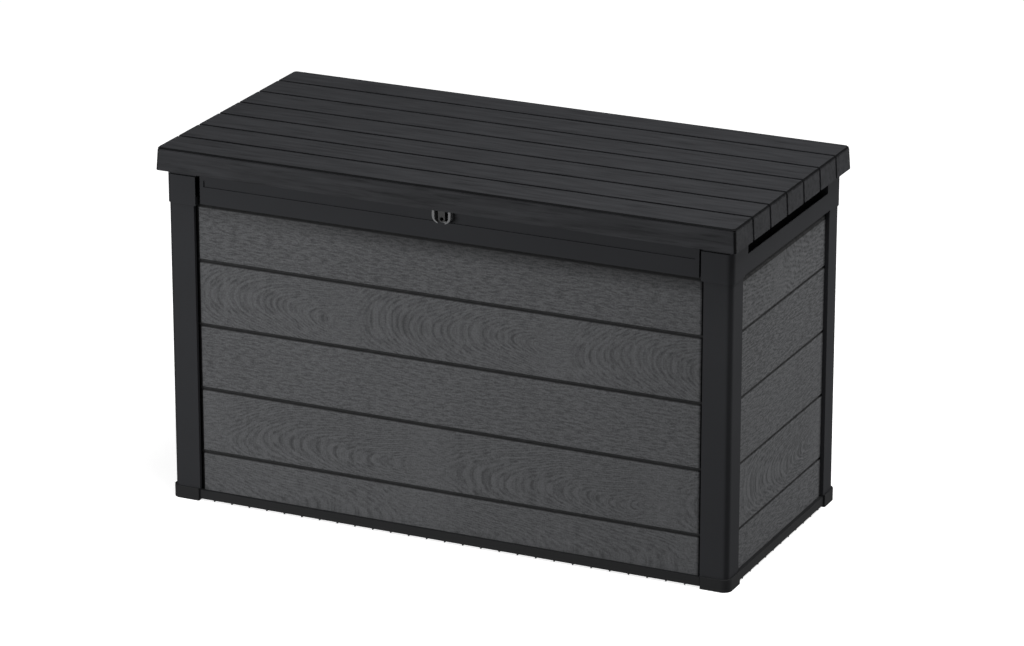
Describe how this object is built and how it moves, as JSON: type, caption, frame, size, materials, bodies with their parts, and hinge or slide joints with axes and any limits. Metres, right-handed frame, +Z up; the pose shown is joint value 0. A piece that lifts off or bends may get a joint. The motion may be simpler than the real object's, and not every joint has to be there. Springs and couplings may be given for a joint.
{
  "type": "deck storage box",
  "caption": "Long rectangular resin storage box for a deck or patio, with grooved plank walls and a hinged plank lid held up by gas struts.",
  "frame": {"origin": "on the ground, in the middle of the outline of the closed box", "axes": "+Z up, the front with the lock faces -Y, +X to the right as seen from the front, along the long side"},
  "size_m": [1.502, 0.72, 0.9],
  "materials": {
    "lid_plastic": "matt moulded resin with fine brushed grain",
    "liner_plastic": "matt moulded resin",
    "frame_plastic": "matt moulded resin with fine texture",
    "wall_plastic": "matt moulded resin with wood grain relief",
    "base_plastic": "matt moulded resin",
    "lock_grey_plastic": "satin moulded resin",
    "lock_black_plastic": "satin moulded resin",
    "hinge_plastic": "satin moulded resin",
    "pin_steel": "zinc plated",
    "screw_steel": "zinc plated",
    "bracket_steel": "black powder coat",
    "strut_black_paint": "gloss black paint",
    "strut_rod_steel": "bright hard chrome",
    "strut_end_plastic": "satin moulded nylon",
    "pad_rubber": "matt rubber"
  },
  "bodies": {
    "body": {"base_tray": "base_plastic", "front_left_foot": "base_plastic", "front_left_post": "frame_plastic", "front_right_foot": "base_plastic", "front_right_post": "frame_plastic", "front_top_rail": "frame_plastic", "front_wall_panel": "wall_plastic", "hinge_body_screws": "screw_steel", "left_hinge_body_leaf": "hinge_plastic", "left_hinge_pin": "pin_steel", "left_strut_wall_bracket": "bracket_steel", "left_top_rail": "frame_plastic", "left_wall_panel": "wall_plastic", "lock_guard": "lock_grey_plastic", "lock_guard_screws": "screw_steel", "lock_staple": "lock_black_plastic", "middle_hinge_body_leaf": "hinge_plastic", "middle_hinge_pin": "pin_steel", "rear_left_foot": "base_plastic", "rear_left_post": "frame_plastic", "rear_right_foot": "base_plastic", "rear_right_post": "frame_plastic", "rear_top_rail": "frame_plastic", "rear_wall_panel": "wall_plastic", "right_hinge_body_leaf": "hinge_plastic", "right_hinge_pin": "pin_steel", "right_strut_wall_bracket": "bracket_steel", "right_top_rail": "frame_plastic", "right_wall_panel": "wall_plastic", "rim_pads": "pad_rubber", "strut_wall_screws": "screw_steel"},
    "lid": {"lid_panel": "lid_plastic", "lid_liner": "liner_plastic", "lid_hasp": "lock_black_plastic", "lid_hasp_screws": "screw_steel", "hinge_lid_screws": "screw_steel", "strut_lid_screws": "screw_steel", "left_strut_lid_bracket": "bracket_steel", "right_strut_lid_bracket": "bracket_steel", "left_hinge_lid_leaf": "hinge_plastic", "middle_hinge_lid_leaf": "hinge_plastic", "right_hinge_lid_leaf": "hinge_plastic"},
    "left_cylinder": {"left_strut_tube": "strut_black_paint", "left_strut_tube_end": "strut_end_plastic"},
    "left_rod": {"left_strut_rod": "strut_rod_steel", "left_strut_rod_end": "strut_end_plastic"},
    "right_cylinder": {"right_strut_tube": "strut_black_paint", "right_strut_tube_end": "strut_end_plastic"},
    "right_rod": {"right_strut_rod": "strut_rod_steel", "right_strut_rod_end": "strut_end_plastic"}
  },
  "joints": [
    {"name": "lid_hinge", "type": "hinge", "parent": "body", "child": "lid", "pos_m": [0, 0.342, 0.838], "axis": [-1, 0, 0], "range_deg": [0, 80]},
    {"name": "left_strut_swing", "type": "hinge", "parent": "body", "child": "left_cylinder", "pos_m": [-0.685, 0.242, 0.598], "axis": [-1, 0, 0], "range_deg": [0, 40]},
    {"name": "left_rod_swing", "type": "hinge", "parent": "lid", "child": "left_rod", "pos_m": [-0.685, 0.082, 0.838], "axis": [1, 0, 0], "range_deg": [0, 40]},
    {"name": "right_strut_swing", "type": "hinge", "parent": "body", "child": "right_cylinder", "pos_m": [0.685, 0.242, 0.598], "axis": [-1, 0, 0], "range_deg": [0, 40]},
    {"name": "right_rod_swing", "type": "hinge", "parent": "lid", "child": "right_rod", "pos_m": [0.685, 0.082, 0.838], "axis": [1, 0, 0], "range_deg": [0, 40]}
  ],
  "couplings": [
    {"joint": "left_strut_swing", "follows": "lid_hinge", "ratio": 0.5},
    {"joint": "left_rod_swing", "follows": "lid_hinge", "ratio": 0.5},
    {"joint": "right_strut_swing", "follows": "lid_hinge", "ratio": 0.5},
    {"joint": "right_rod_swing", "follows": "lid_hinge", "ratio": 0.5}
  ]
}
